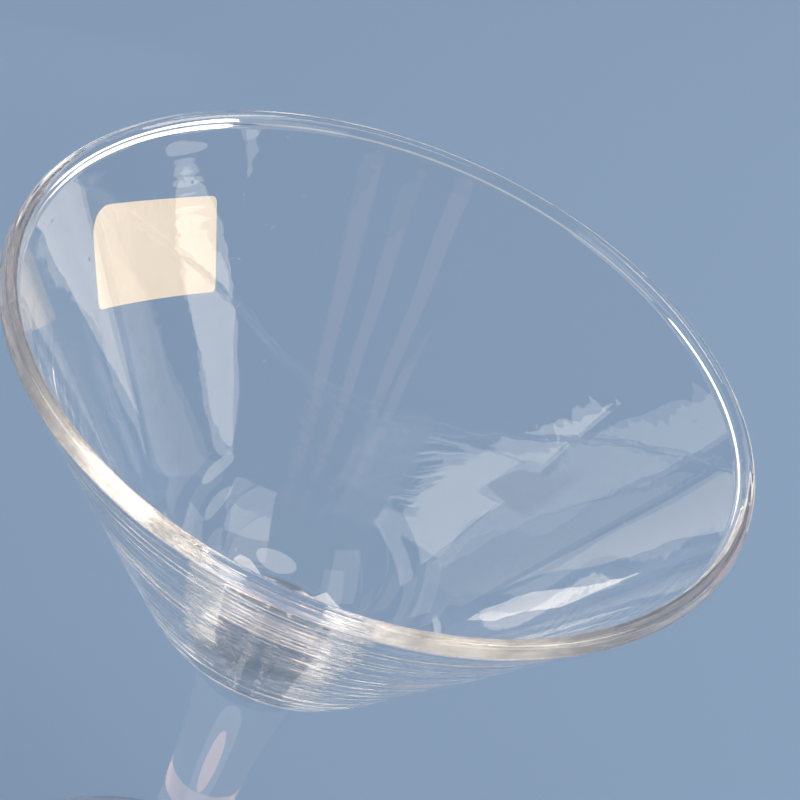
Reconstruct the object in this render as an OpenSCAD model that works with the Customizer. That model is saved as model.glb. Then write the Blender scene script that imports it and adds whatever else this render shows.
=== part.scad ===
// Stemmed cocktail glass: a conical bowl, a drawn stem and a flat foot fused
// end to end, with a blank paper label stuck on the outside of the bowl.
// Millimetres. The glass stands on z = 0 with its axis on Z.

/* [Glass] */
// Height from the table to the top of the rim
height = 170; // [160:1:180]

/* [Bowl] */
// Outer diameter of the rim
rim_d = 115; // [110:1:120]
// Full opening angle of the cone, in degrees
cone_angle = 62.6; // [60:0.2:66]
// Thickness of the conical wall
wall = 2.2; // [1.8:0.1:2.5]
// Diameter of the fire-polished bead that ends the wall
bead_d = 2.7; // [2.6:0.1:3.2]
// Radius of the round bottom, inside and outside
bottom_r = 30.3; // [28:0.1:33]

/* [Stem] */
// Diameter of the stem at its waist
waist_d = 12.2; // [9:0.2:13]
// Radius at which the stem's flare leaves the round bottom
flare_r = 13.4; // [12:0.2:15]
// Distance of the upper weld below the bottom of the bowl
weld_drop = 1.5; // [1:0.5:6]

/* [Foot] */
// Outer diameter of the foot
foot_d = 78; // [72:1:84]
// Thickness of the foot at its rounded edge
foot_edge = 2.6; // [2:0.1:3.2]
// Height of the boss that the stem is fused to
boss_h = 11; // [9:0.5:14]
// Height of the shallow hollow under the foot
punt_h = 1.8; // [1:0.1:2.2]
// Width of the flat ring that the glass rests on
ring_w = 4; // [3:0.5:5]

/* [Label] */
// Length of the label round the bowl
label_w = 28; // [20:1:34]
// Height of the label along the wall
label_h = 16; // [10:1:18]
// Distance of the label's centre below the rim
label_drop = 18; // [14:0.5:22]
// Where the label sits round the bowl, in degrees anticlockwise from -Y
label_turn = -115; // [-180:0.5:180]
// Turn of the label on the wall, in degrees
label_tilt = 11; // [-15:1:15]
// Thickness of the paper and its adhesive
label_t = 0.12; // [0.08:0.01:0.2]
// Radius of the label's three small corners
corner_r = 1; // [0.5:0.1:2]
// Radius of its one large corner
big_corner_r = 5; // [2:0.5:6]

/* [Hidden] */
$fn = 128;
glass_colour = [0.86, 0.92, 0.96, 0.35];
paper_colour = [0.98, 0.94, 0.87];

// Points round an arc, from one angle to another
function arc(centre, r, from, to, steps) =
    [for (i = [0 : steps])
        let (a = from + (to - from) * i / steps) centre + r * [cos(a), sin(a)]];

// Bowl: the wall is centred on the bead and leans out by half the opening angle
half = cone_angle / 2;
bead_r = bead_d / 2;
bead = [rim_d / 2 - bead_r, height - bead_r];
bead_steps = 24;
// Height of the centre of the round bottom that is tangent to the cone at this
// offset outwards from the middle of the wall
function bottom_centre(offset) =
    bead.y - (bead.x + (offset - bottom_r) / cos(half)) / tan(half);
outer_z = bottom_centre(wall / 2);
inner_z = bottom_centre(-wall / 2);
// The circle where cone and round bottom meet: its radius, and its drop below that centre
tangent_r = bottom_r * cos(half);
tangent_drop = bottom_r * sin(half);

// Stem: its waist swells into a flare at the bowl and into a toe at the foot,
// and a small fillet makes the flare tangent to the round bottom
flare_z = outer_z - sqrt(pow(bottom_r, 2) - pow(flare_r, 2));
weld_z = outer_z - bottom_r - weld_drop;
waist_r = waist_d / 2;
fillet_size = 0.9;
flare_size = flare_r - waist_r - fillet_size;
flare_run = 18.4;
bottom_slope = (outer_z - flare_z) / flare_r;
fillet_run = fillet_size / (bottom_slope - flare_size / flare_run);
toe_size = 3.4;
toe_run = 5;
function stem_r(z) = waist_r
    + flare_size * exp((z - flare_z) / flare_run)
    + fillet_size * exp((z - flare_z) / fillet_run)
    + toe_size * exp((boss_h - z) / toe_run);
collar_steps = 12;
stem_steps = 60;
// Points of the outline from one height up to another, closer together at both ends
function stem_outline(low, high, steps) =
    [for (i = [0 : steps])
        let (z = low + (high - low) * (1 - cos(180 * i / steps)) / 2) [stem_r(z), z]];

// Foot: a straight slope up from the edge, and a blend that ends at the stem's own slope
edge_r = foot_edge / 2;
edge_x = foot_d / 2 - edge_r;
boss_r = stem_r(boss_h);
boss_slope = toe_run / toe_size;
foot_rise = 1.2;
foot_blend = boss_h - foot_edge - foot_rise;
foot_power = (boss_slope * (edge_x - boss_r) - foot_rise) / foot_blend;
foot_steps = 30;
edge_steps = 12;
function foot_outline(share) = [
    edge_x - share * (edge_x - boss_r),
    foot_edge + foot_rise * share + foot_blend * pow(share, foot_power)];
// The hollow underneath is a cap of a large sphere
punt_r = edge_x - ring_w;
punt_sphere_r = (pow(punt_r, 2) + pow(punt_h, 2)) / (2 * punt_h);

// Label: a straight rectangle pressed square onto the wall's outside cone
label_z = height - label_drop;
label_reach = 14;
function wall_r(z, offset) = bead.x + (wall / 2 + offset) / cos(half) - (bead.y - z) * tan(half);

// Half section of a cone and its round bottom, filled in to the axis
module cup_section(centre_z, crown) {
    polygon(concat([[0, centre_z], [tangent_r, centre_z - tangent_drop]], crown));
    intersection() {
        translate([0, centre_z]) circle(bottom_r);
        translate([0, centre_z - bottom_r]) square(bottom_r);
    }
}

// Half section of the bead. It reaches round to where the wall's two faces enter it
module bead_section() {
    overhang = acos(wall / bead_d);
    polygon(arc(bead, bead_r, -half - overhang, 180 - half + overhang, bead_steps));
}

module bowl() {
    collar = stem_outline(weld_z, flare_z, collar_steps);
    across = wall / 2 * [cos(half), -sin(half)];
    wall_out = bead + across;
    wall_in = bead - across;
    color(glass_colour)
        rotate_extrude()
            union() {
                difference() {
                    union() {
                        cup_section(outer_z, [wall_out, wall_in, [0, wall_in.y]]);
                        polygon(concat([[0, weld_z]], collar, [[0, outer_z]]));
                    }
                    cup_section(inner_z, [wall_in, [wall_in.x, height], [0, height]]);
                }
                bead_section();
            }
}

module stem() {
    outline = stem_outline(boss_h, weld_z, stem_steps);
    color(glass_colour)
        rotate_extrude()
            polygon(concat([[0, boss_h]], outline, [[0, weld_z]]));
}

module foot() {
    edge = arc([edge_x, edge_r], edge_r, -90, 90, edge_steps);
    top = [for (i = [1 : foot_steps]) foot_outline(i / foot_steps)];
    color(glass_colour)
        rotate_extrude()
            difference() {
                polygon(concat([[0, 0]], edge, top, [[0, boss_h]]));
                intersection() {
                    translate([0, punt_h - punt_sphere_r]) circle(punt_sphere_r, $fn = 720);
                    translate([0, -punt_h]) square([foot_d / 2, 3 * punt_h]);
                }
            }
}

// Flat outline of the label, centred, with its large corner at the upper right
module label_outline() {
    x = label_w / 2;
    y = label_h / 2;
    difference() {
        square([label_w, label_h], center = true);
        corner_waste([-x, -y], corner_r);
        corner_waste([x, -y], corner_r);
        corner_waste([-x, y], corner_r);
        corner_waste([x, y], big_corner_r);
    }
}

// What a rounded corner of this radius removes from a square corner at this point
module corner_waste(corner, r) {
    inwards = [-sign(corner.x), -sign(corner.y)];
    difference() {
        translate(corner) square(2 * r, center = true);
        translate(corner + r * inwards) circle(r);
        translate(corner + 1.5 * r * inwards) square([r, 3 * r], center = true);
        translate(corner + 1.5 * r * inwards) square([3 * r, r], center = true);
    }
}

// Solid cone along the wall's outside, grown outwards by an offset
module wall_cone(offset) {
    translate([0, 0, outer_z])
        cylinder(h = height - outer_z, r1 = wall_r(outer_z, offset), r2 = wall_r(height, offset));
}

module label() {
    color(paper_colour)
        rotate([0, 0, label_turn])
            intersection() {
                difference() {
                    wall_cone(label_t);
                    wall_cone(0);
                }
                translate([0, -wall_r(label_z, 0), label_z])
                    rotate([90 + half, 0, 0])
                        rotate([0, 0, label_tilt])
                            translate([0, 0, -label_reach / 2])
                                linear_extrude(label_reach)
                                    label_outline();
            }
}

bowl();
stem();
foot();
label();
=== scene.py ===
import math

import bpy
import numpy as np
from mathutils import Matrix, Vector


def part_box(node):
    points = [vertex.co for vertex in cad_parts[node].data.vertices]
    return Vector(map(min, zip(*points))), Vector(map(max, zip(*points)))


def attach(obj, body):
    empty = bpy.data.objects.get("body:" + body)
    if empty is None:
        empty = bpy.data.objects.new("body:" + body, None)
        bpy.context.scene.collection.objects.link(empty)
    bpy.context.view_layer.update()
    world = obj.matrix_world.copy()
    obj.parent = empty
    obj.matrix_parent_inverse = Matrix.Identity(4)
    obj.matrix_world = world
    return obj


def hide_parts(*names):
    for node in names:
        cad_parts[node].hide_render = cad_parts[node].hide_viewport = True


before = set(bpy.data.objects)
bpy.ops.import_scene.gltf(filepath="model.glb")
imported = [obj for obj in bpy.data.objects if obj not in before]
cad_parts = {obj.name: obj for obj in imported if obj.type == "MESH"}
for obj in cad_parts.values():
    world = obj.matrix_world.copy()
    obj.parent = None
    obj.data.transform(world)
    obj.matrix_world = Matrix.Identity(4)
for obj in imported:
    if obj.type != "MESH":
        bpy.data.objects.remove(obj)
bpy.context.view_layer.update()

# A conical cocktail glass: bowl, stem and foot as closed meshes of blown glass, fused at two
# flat faces, and a blank paper label on the outside of the bowl. Metres, in the CAD's frame.

# ---------------------------------------------------------------- sizes from the frame
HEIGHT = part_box("bowl")[1].z
RIM_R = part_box("bowl")[1].x
UPPER_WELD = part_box("stem")[1].z
LOWER_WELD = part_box("stem")[0].z
FOOT_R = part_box("foot")[1].x

# ---------------------------------------------------------------- the design's own sizes
HALF = math.radians(62.6 / 2)       # half the cone's opening angle
WALL = 0.0022                       # thickness of the conical wall
BEAD_R = 0.00135                    # radius of the bead that ends the wall
BOTTOM_R = 0.0303                   # radius of the round bottom, inside and outside
FLARE_R = 0.0134                    # radius at which the stem's flare leaves the round bottom
WAIST_R = 0.0061                    # radius of the stem at its waist
FILLET = 0.0009                     # what the fillet adds to the stem where it meets the bottom
FLARE_RUN = 0.0184                  # height over which the flare shrinks by a factor of e
TOE = 0.0034                        # what the toe adds to the stem at the foot
TOE_RUN = 0.005                     # height over which the toe shrinks by a factor of e
FOOT_EDGE = 0.0026                  # thickness of the foot at its rounded edge
FOOT_RISE = 0.0012                  # height of the foot's straight slope
PUNT_H = 0.0018                     # height of the hollow under the foot
RING_W = 0.004                      # width of the flat ring that the glass rests on
LABEL_W = 0.028                     # length of the label round the bowl
LABEL_H = 0.016                     # height of the label along the wall
LABEL_DROP = 0.018                  # the label's centre, below the rim
LABEL_TURN = math.radians(-115)     # the label's centre, anticlockwise from -Y
LABEL_TILT = math.radians(11)       # turn of the label on the wall
LABEL_T = 0.00012                   # thickness of the paper and its adhesive
CORNER_R = 0.001                    # radius of the label's three small corners
BIG_CORNER_R = 0.005                # radius of its one large corner

BEAD_X = RIM_R - BEAD_R
BEAD_Z = HEIGHT - BEAD_R


def bottom_centre(offset):
    """Height of the centre of the round bottom tangent to the cone at this offset outwards."""
    return BEAD_Z - (BEAD_X + (offset - BOTTOM_R) / math.cos(HALF)) / math.tan(HALF)


OUTER_Z = bottom_centre(WALL / 2)
INNER_Z = bottom_centre(-WALL / 2)
FLARE_Z = OUTER_Z - math.sqrt(BOTTOM_R**2 - FLARE_R**2)
FLARE = FLARE_R - WAIST_R - FILLET
FILLET_RUN = FILLET / ((OUTER_Z - FLARE_Z) / FLARE_R - FLARE / FLARE_RUN)


def stem_r(z):
    """Radius of the stem's outline at a height: waist, flare, fillet and toe."""
    return (WAIST_R + FLARE * np.exp((z - FLARE_Z) / FLARE_RUN)
            + FILLET * np.exp((z - FLARE_Z) / FILLET_RUN)
            + TOE * np.exp((LOWER_WELD - z) / TOE_RUN))


def arc(x, z, r, start, end, steps):
    """Points round an arc, from one angle to another in radians, the first one left out."""
    angles = np.linspace(start, end, steps + 1)[1:]
    return np.c_[x + r * np.cos(angles), z + r * np.sin(angles)]


def line(start, end, steps):
    """Points along a straight line, the first one left out."""
    share = np.linspace(0, 1, steps + 1)[1:, None]
    return np.asarray(start) * (1 - share) + np.asarray(end) * share


def eased(low, high, steps):
    """Values from low to high, closer together at both ends."""
    return low + (high - low) * (1 - np.cos(np.linspace(0, math.pi, steps + 1))) / 2


# ---------------------------------------------------------------- blown surfaces
class Waves:
    """A sum of waves over a surface of revolution. Each band is (count, shortest, longest, height,
    turns): that many waves, of lengths in that range along the outline, which wander as they go
    round and climb by up to that many whole waves in one turn."""

    def __init__(self, seed, bands):
        rng = np.random.default_rng(seed)
        self.waves = []
        for count, shortest, longest, height, turns in bands:
            for _ in range(count):
                length = shortest * (longest / shortest) ** rng.random()
                own_height = height * rng.uniform(0.5, 1.0) / math.sqrt(count)
                climb = rng.integers(0, turns + 1)
                phase = rng.uniform(0, 2 * math.pi)
                drift = rng.integers(1, 4)
                sway = rng.uniform(0.2, 1.1)
                sway_start = rng.uniform(0, 2 * math.pi)
                swell = rng.integers(1, 5)
                swell_start = rng.uniform(0, 2 * math.pi)
                self.waves.append((2 * math.pi / length, own_height, climb, phase,
                                   drift, sway, sway_start, swell, swell_start))

    def __call__(self, s, turn):
        """Height of the surface at s metres along the outline and at an angle from +X."""
        total = np.zeros(np.broadcast(s, turn).shape)
        for k, height, climb, phase, drift, sway, sway_start, swell, swell_start in self.waves:
            wander = sway * np.cos(drift * turn + sway_start)
            strength = 0.6 + 0.4 * np.cos(swell * turn + swell_start)
            total += height * strength * np.cos(k * s + climb * turn + phase + wander)
        return total


OUTSIDE = Waves(3, [(4, 0.02, 0.05, 0.00008, 3)])
RINGS = Waves(4, [(12, 0.0009, 0.0016, 0.000024, 0), (14, 0.0016, 0.004, 0.000075, 0),
                  (6, 0.005, 0.01, 0.0002, 1)])
BEAD_RINGS = Waves(9, [(8, 0.0009, 0.0017, 0.0001, 0)])
INSIDE = Waves(8, [(6, 0.0026, 0.006, 0.000003, 0), (4, 0.009, 0.02, 0.00001, 2),
                   (5, 0.02, 0.06, 0.0001, 4)])
DRAWN = Waves(5, [(4, 0.02, 0.08, 0.00003, 5)])
PRESSED = Waves(6, [(4, 0.01, 0.03, 0.00003, 3)])

AWAY_SHARE = 0.02       # what the rings keep on the side away from -Y
NEAR_POWER = 3.5        # how closely they gather towards -Y
MIDDLE_SHARE = 0.12     # what they keep at -Y itself, between two stronger places
FADE_START = 0.024      # how far below the rim they begin to fade
FADE_RUN = 0.012        # the distance over which they fade
FADED = 0.75            # how much of them is gone after that
WAVES_START = 0.0015    # how far below the bead the waves begin
WAVES_RUN = 0.003       # the distance over which they reach their full height


def outside(s, turn):
    """Height of the blown surface over the true cone: slow waves, and rings that are strongest
    either side of -Y and fade below the upper part of the wall."""
    near = AWAY_SHARE + (1 - AWAY_SHARE) * ((1 - np.sin(turn)) / 2) ** NEAR_POWER
    either_side = MIDDLE_SHARE + (1 - MIDDLE_SHARE) * np.sin(2 * (turn + math.pi / 2)) ** 2
    fade = 1 - FADED * np.clip((s - FADE_START) / FADE_RUN, 0, 1)
    return OUTSIDE(s, turn) + RINGS(s, turn) * near * either_side * fade


def wall_share(s):
    """How much of the waves a point on the wall takes: none at the bead, all a little below it."""
    share = np.clip((s - WAVES_START) / WAVES_RUN, 0, 1)
    return share**2 * (3 - 2 * share)


def cone_r(z):
    """Radius of the wall's true outside at a height."""
    return BEAD_X + WALL / 2 / math.cos(HALF) - (BEAD_Z - z) * math.tan(HALF)


def outer_wall_point(drop, turn, lift):
    """Point that far off the outside of the bowl's wall, below the rim and at an angle from +X."""
    z = HEIGHT - drop
    s = (BEAD_Z - z) / math.cos(HALF)
    push = outside(s, turn) * wall_share(s) + lift
    r = cone_r(z) + push * math.cos(HALF)
    z = z - push * math.sin(HALF)
    return np.stack([r * np.cos(turn), r * np.sin(turn), z * np.ones_like(turn)], axis=-1)


# ---------------------------------------------------------------- meshes
def add_object(name, data):
    """New object in the scene that holds this data."""
    made = bpy.data.objects.new(name, data)
    bpy.context.scene.collection.objects.link(made)
    return made


def smooth_piece(name, verts, faces, crease):
    """Smooth-shaded mesh object, with sharp edges where faces meet at more than crease degrees."""
    mesh = bpy.data.meshes.new(name)
    mesh.from_pydata(verts, [], faces)
    mesh.polygons.foreach_set("use_smooth", np.ones(len(faces), bool))
    mesh.set_sharp_from_angle(angle=math.radians(crease))
    mesh.update()
    return add_object(name, mesh)


def unit(vectors):
    """Each row of an array, at length 1."""
    return vectors / np.linalg.norm(vectors, axis=1)[:, None]


def revolve(name, outline, push, caps, around=160):
    """Closed mesh of an outline that runs from the axis back to the axis, with the solid on its
    left. push(k, turn) moves the outline's point k outwards along its normal. caps are the (first,
    last) rows of faces that are fused to the next piece, and they get the second material."""
    rings = outline[1:-1]
    along = unit(outline[2:] - rings) + unit(rings - outline[:-2])
    normal = unit(np.c_[along[:, 1], -along[:, 0]])
    turn = np.arange(around) * 2 * math.pi / around
    verts = []
    for i, (r, z) in enumerate(rings):
        height = push(i + 1, turn)
        ring_r = r + height * normal[i, 0]
        ring_z = z + height * normal[i, 1]
        verts.append(np.c_[ring_r * np.cos(turn), ring_r * np.sin(turn), ring_z * np.ones(around)])
    first_pole = len(rings) * around
    last_pole = first_pole + 1
    last_ring = first_pole - around
    verts = np.vstack(verts + [[[0, 0, outline[0, 1]]], [[0, 0, outline[-1, 1]]]])
    sides = [(j, (j + 1) % around) for j in range(around)]
    faces = [(first_pole, k, j) for j, k in sides]
    for a in range(0, last_ring, around):
        b = a + around
        faces += [(a + j, a + k, b + k, b + j) for j, k in sides]
    faces += [(last_pole, last_ring + j, last_ring + k) for j, k in sides]
    piece = smooth_piece(name, verts.tolist(), faces, crease=35)
    fused = np.zeros(len(faces), np.int32)
    for first, last in caps:
        fused[around * first: around * (last + 1)] = 1
    piece.data.polygons.foreach_set("material_index", fused)
    return piece


def make_bowl():
    """The cup: flat cap, collar, round bottom, wall and bead, then wall and bottom inside. The
    outside of the wall has many rings of points, because the blown rings are narrow."""
    cap = line((0, UPPER_WELD), (stem_r(UPPER_WELD), UPPER_WELD), 4)
    collar_z = eased(UPPER_WELD, FLARE_Z, 24)
    collar = np.c_[stem_r(collar_z), collar_z][1:]
    outer_round = arc(0, OUTER_Z, BOTTOM_R, -math.acos(FLARE_R / BOTTOM_R), -HALF, 60)
    across = np.array([math.cos(HALF), -math.sin(HALF)]) * WALL / 2
    up = np.array([math.sin(HALF), math.cos(HALF)])
    overhang = math.acos(WALL / 2 / BEAD_R)
    wall_top = np.array([BEAD_X, BEAD_Z]) + across - BEAD_R * math.sin(overhang) * up
    outer_wall = line(outer_round[-1], wall_top, 360)
    bead = arc(BEAD_X, BEAD_Z, BEAD_R, -HALF - overhang, math.pi - HALF + overhang, 40)
    wall_foot = (BOTTOM_R * math.cos(HALF), INNER_Z - BOTTOM_R * math.sin(HALF))
    inner_wall = line(bead[-1], wall_foot, 66)
    inner_round = arc(0, INNER_Z, BOTTOM_R, -HALF, -math.pi / 2, 40)
    outline = np.vstack([[[0, UPPER_WELD]], cap, collar, outer_round, outer_wall, bead, inner_wall,
                         inner_round])
    outline[-1, 0] = 0

    length = np.r_[0, np.cumsum(np.linalg.norm(np.diff(outline, axis=0), axis=1))]
    first_outer = len(cap) + len(collar)
    first_inner = len(outline) - len(inner_wall) - len(inner_round)
    first_bead = first_inner - len(bead)
    bead_start = length[first_bead]
    bead_end = length[first_inner - 1]
    calm_bottom = 0.02  # distance from the axis, inside, over which the waves die out
    blend_points = 60   # points about the start of the round bottom over which they begin
    bead_ease = 0.001   # distance from either end of the bead over which they begin

    def push(k, turn):
        if k >= first_inner:
            s = length[k] - bead_end
            return INSIDE(s, turn) * wall_share(s) * min(1, (length[-1] - length[k]) / calm_bottom)
        if k < first_bead:
            s = bead_start - length[k]
            blend = np.clip((k - first_outer + blend_points / 2) / blend_points, 0, 1)
            return outside(s, turn) * wall_share(s) * blend
        start = np.clip((length[k] - bead_start) / bead_ease, 0, 1)
        end = np.clip((bead_end - length[k]) / bead_ease, 0, 1)
        return BEAD_RINGS(length[k] - bead_start, turn) * start * end

    return revolve("glass_bowl", outline, push, caps=[(0, len(cap) - 1)])


def make_stem():
    """The drawn rod between its two flat caps."""
    z = eased(LOWER_WELD, UPPER_WELD, 150)
    low_cap = line((0, LOWER_WELD), (stem_r(LOWER_WELD), LOWER_WELD), 4)
    side = np.c_[stem_r(z), z][1:]
    high_cap = line(side[-1], (0, UPPER_WELD), 4)
    outline = np.vstack([[[0, LOWER_WELD]], low_cap, side, high_cap])
    first_side = len(low_cap)
    first_high = first_side + len(side)
    calm_end = 0.01     # distance from either end over which the waves die out

    def push(k, turn):
        if k < first_side or k >= first_high:
            return np.zeros_like(turn)
        height = outline[k, 1] - LOWER_WELD
        room = min(height, UPPER_WELD - outline[k, 1])
        return DRAWN(height, turn) * min(1, room / calm_end)

    last_row = len(outline) - 2
    caps = [(0, len(low_cap) - 1), (last_row + 1 - len(high_cap), last_row)]
    return revolve("glass_stem", outline, push, caps, around=120)


def make_foot():
    """The disc: hollow, resting ring, rounded edge, top that rises to the boss, and flat cap."""
    edge_r = FOOT_EDGE / 2
    edge_x = FOOT_R - edge_r
    punt_r = edge_x - RING_W
    sphere_r = (punt_r**2 + PUNT_H**2) / (2 * PUNT_H)
    boss_r = float(stem_r(LOWER_WELD))
    blend = LOWER_WELD - FOOT_EDGE - FOOT_RISE
    power = (TOE_RUN / TOE * (edge_x - boss_r) - FOOT_RISE) / blend
    punt_end = math.pi / 2 - math.asin(punt_r / sphere_r)
    punt = arc(0, PUNT_H - sphere_r, sphere_r, math.pi / 2, punt_end, 40)
    ring = line(punt[-1], (edge_x, 0), 6)
    edge = arc(edge_x, edge_r, edge_r, -math.pi / 2, math.pi / 2, 20)
    share = np.linspace(0, 1, 61)[1:]
    top_z = FOOT_EDGE + FOOT_RISE * share + blend * share**power
    top = np.c_[edge_x - share * (edge_x - boss_r), top_z]
    cap = line(top[-1], (0, LOWER_WELD), 4)
    outline = np.vstack([[[0, PUNT_H]], punt, ring, edge, top, cap])
    first_cap = len(outline) - len(cap)
    first_top = first_cap - len(top)
    calm_end = 0.006    # distance from either edge of the top over which the waves die out

    def push(k, turn):
        if k < first_top or k >= first_cap:
            return np.zeros_like(turn)
        across = edge_x - outline[k, 0]
        room = min(across, outline[k, 0] - boss_r)
        return PRESSED(across, turn) * min(1, room / calm_end)

    last_row = len(outline) - 2
    return revolve("glass_foot", outline, push, caps=[(last_row + 1 - len(cap), last_row)])


def label_ends(y):
    """Left and right ends of the label at a height above its middle, inside its round corners."""
    ends = []
    for side in (-1, 1):
        radius = BIG_CORNER_R if side > 0 and y > 0 else CORNER_R
        over = abs(y) - (LABEL_H / 2 - radius)
        reach = LABEL_W / 2
        if over > 0:
            reach -= radius - math.sqrt(max(radius**2 - over**2, 0))
        ends.append(side * reach)
    return ends


def on_wall(x, y, lift):
    """The point of the flat label (x, y), wrapped onto the wall's outside and lifted off it. The
    cone unrolls flat, so the label keeps its own size on it."""
    slant = cone_r(HEIGHT - LABEL_DROP) / math.sin(HALF)
    u = x * math.cos(LABEL_TILT) - y * math.sin(LABEL_TILT)
    v = x * math.sin(LABEL_TILT) + y * math.cos(LABEL_TILT)
    turn = math.atan2(u, slant + v) / math.sin(HALF)
    drop = LABEL_DROP - (math.hypot(u, slant + v) - slant) * math.cos(HALF)
    return outer_wall_point(drop, np.array(-math.pi / 2 + LABEL_TURN + turn), lift)


def make_label():
    """A paper rectangle with rounded corners that follows the wall, with its own thickness."""
    rows = 36
    columns = 56
    glue_gap = 0.00001  # keeps the two faces from coinciding
    verts = []
    for lift in (glue_gap, glue_gap + LABEL_T):
        for y in eased(-LABEL_H / 2, LABEL_H / 2, rows):
            left, right = label_ends(y)
            verts += [on_wall(x, y, lift).tolist() for x in np.linspace(left, right, columns + 1)]
    wide = columns + 1
    front = wide * (rows + 1)
    faces = []
    for i in range(rows):
        for a in range(i * wide, i * wide + columns):
            faces.append((a, a + wide, a + wide + 1, a + 1))
            faces.append((front + a, front + a + 1, front + a + wide + 1, front + a + wide))
    bottom = list(range(wide))
    right_side = [i * wide + columns for i in range(1, rows + 1)]
    top = [rows * wide + j for j in range(columns - 1, -1, -1)]
    left_side = [i * wide for i in range(rows - 1, 0, -1)]
    border = bottom + right_side + top + left_side
    for a, b in zip(border, border[1:] + border[:1]):
        faces.append((a, b, front + b, front + a))
    return smooth_piece("paper_label", verts, faces, crease=40)


# ---------------------------------------------------------------- materials
def new_material(name):
    """Empty material and its node tree."""
    material = bpy.data.materials.new(name)
    material.use_nodes = True
    material.node_tree.nodes.clear()
    return material, material.node_tree


def node(tree, kind, **values):
    """New shader node. A value whose name has a capital is an input, and any other is a setting."""
    made = tree.nodes.new("ShaderNode" + kind)
    for key, value in values.items():
        if key[0].isupper():
            made.inputs[key.replace("_", " ")].default_value = value
        else:
            setattr(made, key, value)
    return made


def ramp(tree, low_at, low, high_at, high):
    """Colour ramp between two colours."""
    made = node(tree, "ValToRGB")
    start, end = made.color_ramp.elements
    start.position = low_at
    start.color = (*low, 1)
    end.position = high_at
    end.color = (*high, 1)
    return made


def glass_material(name, grooves, groove_height, specks):
    """Clear glass with fine grooves and specks as bump. Rays from lamps pass through it, so that
    it throws a light shadow."""
    material, tree = new_material(name)
    link = tree.links.new
    place = node(tree, "TexCoord")
    stretch = node(tree, "Mapping", Scale=grooves)
    streaks = node(tree, "TexNoise", Scale=1.0, Detail=3.0, Roughness=0.55)
    link(place.outputs["Object"], stretch.inputs["Vector"])
    link(stretch.outputs["Vector"], streaks.inputs["Vector"])
    groove_bump = node(tree, "Bump", Strength=1.0, Distance=groove_height)
    link(streaks.outputs["Fac"], groove_bump.inputs["Height"])
    cells = node(tree, "TexVoronoi", Scale=specks)
    speck = node(tree, "MapRange", From_Min=0.03, From_Max=0.06, To_Min=1.0, To_Max=0.0)
    link(place.outputs["Object"], cells.inputs["Vector"])
    link(cells.outputs["Distance"], speck.inputs["Value"])
    speck_bump = node(tree, "Bump", Strength=1.0, Distance=0.00004)
    link(speck.outputs["Result"], speck_bump.inputs["Height"])
    link(groove_bump.outputs["Normal"], speck_bump.inputs["Normal"])
    shader = node(tree, "BsdfPrincipled", Base_Color=(0.985, 0.988, 0.99, 1), Roughness=0.0,
                  IOR=1.51, Transmission_Weight=1.0)
    link(speck_bump.outputs["Normal"], shader.inputs["Normal"])
    clear = node(tree, "BsdfTransparent", Color=(0.94, 0.96, 0.97, 1))
    path = node(tree, "LightPath")
    mix = node(tree, "MixShader")
    out = node(tree, "OutputMaterial")
    link(path.outputs["Is Shadow Ray"], mix.inputs["Fac"])
    link(shader.outputs["BSDF"], mix.inputs[1])
    link(clear.outputs["BSDF"], mix.inputs[2])
    link(mix.outputs["Shader"], out.inputs["Surface"])
    return material


def weld_material():
    """The face where two pieces of glass are fused: there is no surface there to see."""
    material, tree = new_material("fused_face")
    clear = node(tree, "BsdfTransparent", Color=(1, 1, 1, 1))
    out = node(tree, "OutputMaterial")
    tree.links.new(clear.outputs["BSDF"], out.inputs["Surface"])
    return material


def paper_material():
    """Matt cream paper with fibres, slightly cloudy where the adhesive varies."""
    material, tree = new_material("cream_paper")
    link = tree.links.new
    place = node(tree, "TexCoord")
    cloud = node(tree, "TexNoise", Scale=130.0, Detail=4.0, Roughness=0.6)
    fibres = node(tree, "TexNoise", Scale=2600.0, Detail=3.0, Roughness=0.65, Distortion=0.8)
    link(place.outputs["Object"], cloud.inputs["Vector"])
    link(place.outputs["Object"], fibres.inputs["Vector"])
    tone = ramp(tree, 0.35, (0.90, 0.81, 0.745), 0.65, (0.94, 0.855, 0.795))
    grain = ramp(tree, 0.3, (0.95, 0.95, 0.95), 0.6, (1, 1, 1))
    blend = node(tree, "Mix", data_type="RGBA", blend_type="MULTIPLY")
    factor, first_colour, second_colour = blend.inputs[0], blend.inputs[6], blend.inputs[7]
    factor.default_value = 1.0
    link(cloud.outputs["Fac"], tone.inputs["Fac"])
    link(fibres.outputs["Fac"], grain.inputs["Fac"])
    link(tone.outputs["Color"], first_colour)
    link(grain.outputs["Color"], second_colour)
    bump = node(tree, "Bump", Strength=0.5, Distance=0.00002)
    link(fibres.outputs["Fac"], bump.inputs["Height"])
    shader = node(tree, "BsdfPrincipled", Roughness=0.8, Specular_IOR_Level=0.25)
    link(blend.outputs[2], shader.inputs["Base Color"])
    link(bump.outputs["Normal"], shader.inputs["Normal"])
    out = node(tree, "OutputMaterial")
    link(shader.outputs["BSDF"], out.inputs["Surface"])
    return material


def floor_material():
    """Plain matt pale blue."""
    material, tree = new_material("pale_floor")
    shader = node(tree, "BsdfPrincipled", Base_Color=(0.175, 0.265, 0.42, 1), Roughness=0.9,
                  Specular_IOR_Level=0.1)
    out = node(tree, "OutputMaterial")
    tree.links.new(shader.outputs["BSDF"], out.inputs["Surface"])
    return material


# ---------------------------------------------------------------- stage, lights, camera
def make_floor():
    """A wide disc, just under the foot so that the two faces don't coincide."""
    bpy.ops.mesh.primitive_circle_add(vertices=96, radius=6, fill_type="NGON",
                                      location=(0, 0, -0.0002))
    floor = bpy.context.object
    floor.name = "floor"
    floor.data.materials.append(floor_material())


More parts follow.
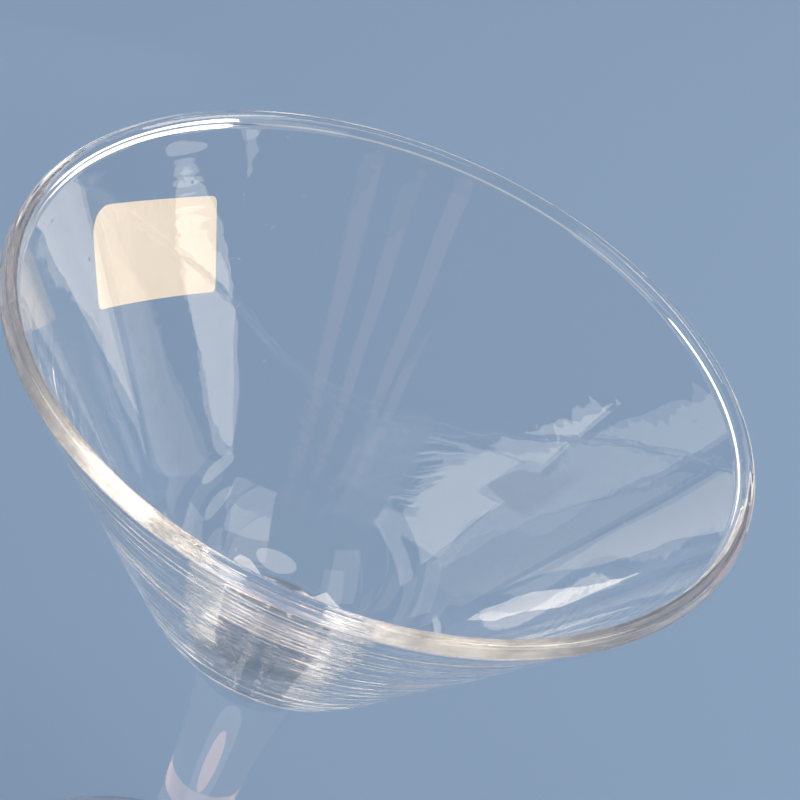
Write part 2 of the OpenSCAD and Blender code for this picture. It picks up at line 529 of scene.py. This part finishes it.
def towards(azimuth, elevation):
    """Unit vector at an azimuth turned from +Y towards +X, and an elevation, in degrees."""
    a = math.radians(azimuth)
    e = math.radians(elevation)
    return Vector((math.sin(a) * math.cos(e), math.cos(a) * math.cos(e), math.sin(e)))


def area_lamp(name, shape, wide, high, radiance, colour):
    """Area light that the camera doesn't see. Its power follows from its radiance and area."""
    light = bpy.data.lights.new(name, "AREA")
    light.shape = shape
    light.size = wide
    light.size_y = high
    light.energy = radiance * math.pi * wide * high
    light.color = colour
    lamp = add_object(name, light)
    lamp.visible_camera = False
    return lamp


def softbox(name, azimuth, elevation, wide, high, radiance, shape="RECTANGLE", distance=1.0,
            roll=0, lights_floor=True, colour=(1, 0.91, 0.79)):
    """Area light that faces the bowl, its width and height in degrees as the bowl sees them."""
    lamp = area_lamp(name, shape, 2 * distance * math.tan(math.radians(wide / 2)),
                     2 * distance * math.tan(math.radians(high / 2)), radiance, colour)
    target = Vector((0, 0, 0.135))
    lamp.location = target + towards(azimuth, elevation) * distance
    aim = (target - lamp.location).to_track_quat("-Z", "Y").to_matrix()
    lamp.rotation_euler = (aim @ Matrix.Rotation(math.radians(roll), 3, "Z")).to_euler()
    lamp.visible_diffuse = lights_floor
    return lamp


def flat_card(name, across, near, wide, deep, radiance, colour=(1, 0.86, 0.70)):
    """Card of light that lies face up in front of the glass, and lights only the glass. Its middle
    is across from the axis along X, and its far edge is near to the axis along -Y."""
    lamp = area_lamp(name, "RECTANGLE", wide, deep, radiance, colour)
    lamp.location = (across, -near - deep / 2, 0.002)
    lamp.rotation_euler = (math.pi, 0, 0)
    lamp.visible_diffuse = False


def make_softboxes():
    """The studio's softboxes, which light the floor and show in the glass."""
    softbox("right_low", 94, 14.5, 26, 9.5, 2.4, "ELLIPSE")
    softbox("right_high", 106, 46, 32, 32, 2.0, roll=45)
    softbox("right_mid", 50, 22, 34, 16, 1.6)
    softbox("left_low", -118, 14, 50, 10, 2.6)
    softbox("left_side", -76, 10, 34, 10, 1.2)
    softbox("left_high", -95, 62, 36, 16, 1.2)
    softbox("top", 77, 77, 14.5, 25, 3.0, "ELLIPSE")
    softbox("far_high", 0, 39, 40, 12, 1.2)


def make_cards():
    """Warm cards that show only in the glass: beyond it, beside it, above it, four narrow pinkish
    ones behind the camera, and four that lie in front of it."""
    warm = dict(lights_floor=False, colour=(1, 0.86, 0.70))
    softbox("card_far_left", -32, 0, 30, 19, 1.2, distance=0.8, **warm)
    softbox("card_far", 0, 0, 30, 19, 0.25, distance=0.8, **warm)
    softbox("card_far_right", 32, 0, 30, 19, 1.8, distance=0.8, **warm)
    softbox("card_right", 75, -3, 50, 16, 0.8, distance=0.6, **warm)
    softbox("card_left", -75, -3, 50, 16, 0.6, distance=0.6, **warm)
    softbox("card_low", -27, -18, 20, 7, 2.6, distance=0.38, **warm)
    softbox("card_top_right", 42, 57, 24, 18, 6.0, "ELLIPSE", distance=0.9, **warm)
    softbox("card_top_left", -40, 60, 19, 18, 8.0, distance=0.9, **warm)
    behind = ((150, 26, 6, 14), (165, 27, 5, 12), (181, 30, 5, 12), (191, 24, 4, 8))
    for number, (azimuth, elevation, wide, high) in enumerate(behind, start=1):
        softbox(f"card_behind_{number}", azimuth, elevation, wide, high, 0.5, roll=-20,
                lights_floor=False, colour=(1, 0.48, 0.42))
    flat_card("card_front", 0, 0.042, 0.66, 0.56, 0.6)
    flat_card("card_front_left", -0.19, 0.044, 0.24, 0.26, 2.0)
    flat_card("card_front_right", 0.19, 0.044, 0.24, 0.26, 2.0)
    flat_card("card_warm", 0, 0.050, 0.3, 0.012, 2.6, colour=(1, 0.55, 0.35))


def make_fills(paper):
    """Three lamps that don't show in the glass: a soft fill from far away, and two that light only
    the paper label, one on each of its faces."""
    only_paper = bpy.data.collections.new("lit_by_paper_lamps")
    only_paper.objects.link(paper)
    fill = softbox("fill", 65, 55, 53, 53, 4.4, distance=4.0)
    paper_inside = softbox("paper_inside", 65, 55, 53, 53, 7.3, distance=1.5)
    paper_outside = softbox("paper_outside", -65, 15, 53, 53, 3.0, distance=1.5)
    for lamp in (paper_inside, paper_outside):
        lamp.light_linking.receiver_collection = only_paper
    for lamp in (fill, paper_inside, paper_outside):
        lamp.visible_glossy = False
        lamp.visible_transmission = False


def make_sky():
    """The dim room: bluish up to 30 degrees above the horizon, and warm grey from about 49."""
    sky = bpy.data.worlds.new("studio")
    bpy.context.scene.world = sky
    sky.use_nodes = True
    tree = sky.node_tree
    tree.nodes.clear()
    link = tree.links.new
    place = node(tree, "TexCoord")
    split = node(tree, "SeparateXYZ")
    height = node(tree, "MapRange", From_Min=0.50, From_Max=0.75, To_Min=0.0, To_Max=1.0)
    colours = ramp(tree, 0.0, (0.09, 0.13, 0.20), 1.0, (0.17, 0.165, 0.155))
    back = node(tree, "Background")
    out = node(tree, "OutputWorld")
    link(place.outputs["Generated"], split.inputs["Vector"])
    link(split.outputs["Z"], height.inputs["Value"])
    link(height.outputs["Result"], colours.inputs["Fac"])
    link(colours.outputs["Color"], back.inputs["Color"])
    link(back.outputs["Background"], out.inputs["Surface"])


def make_camera():
    """The studio view: from 36 degrees above the rim, close to it, aimed beside its centre by the
    pan and tilt, and rolled. These three are in radians."""
    distance = 4.5597 * RIM_R
    elevation = math.radians(35.913)
    pan = 0.01426
    tilt = -0.02879
    roll = 0.41830
    rim = Vector((0, 0, HEIGHT))
    place = rim + Vector((0, -math.cos(elevation), math.sin(elevation))) * distance
    ahead = (rim - place).normalized()
    right = ahead.cross(Vector((0, 0, 1))).normalized()
    up = right.cross(ahead)
    ahead = (ahead + math.tan(pan) * right + math.tan(tilt) * up).normalized()
    right = ahead.cross(up).normalized()
    up = right.cross(ahead)
    rolled_right = math.cos(roll) * right + math.sin(roll) * up
    rolled_up = math.cos(roll) * up - math.sin(roll) * right
    turn = Matrix((rolled_right, rolled_up, -ahead)).transposed()
    data = bpy.data.cameras.new("camera")
    data.sensor_width = 36
    data.lens = 81.0
    data.clip_start = 0.01
    camera = add_object("camera", data)
    camera.matrix_world = Matrix.Translation(place) @ turn.to_4x4()
    bpy.context.scene.camera = camera


def set_look():
    """Plain colours, and enough bounces for light to cross glass many times."""
    scene = bpy.context.scene
    scene.view_settings.view_transform = "Standard"
    scene.cycles.max_bounces = 96
    scene.cycles.transmission_bounces = 96
    scene.cycles.glossy_bounces = 96
    scene.cycles.transparent_max_bounces = 64
    scene.cycles.blur_glossy = 0.0
    # Lamps already light the floor through the glass, so caustics would light it twice
    scene.cycles.caustics_reflective = False
    scene.cycles.caustics_refractive = False


# ---------------------------------------------------------------- assembly
make_camera()
fused_face = weld_material()
blown = glass_material("blown_glass", (60, 60, 1500), 0.0000008, 160)
drawn = glass_material("drawn_glass", (500, 500, 30), 0.000002, 120)
pressed = glass_material("pressed_glass", (90, 90, 200), 0.000002, 120)

for piece, glass, cad_node in ((make_bowl(), blown, "bowl"), (make_stem(), drawn, "stem"),
                               (make_foot(), pressed, "foot")):
    piece.data.materials.append(glass)
    piece.data.materials.append(fused_face)
    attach(piece, "root")
    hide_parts(cad_node)

label = make_label()
label.data.materials.append(paper_material())
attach(label, "root")
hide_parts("label")

make_floor()
make_softboxes()
make_cards()
make_fills(label)
make_sky()
set_look()
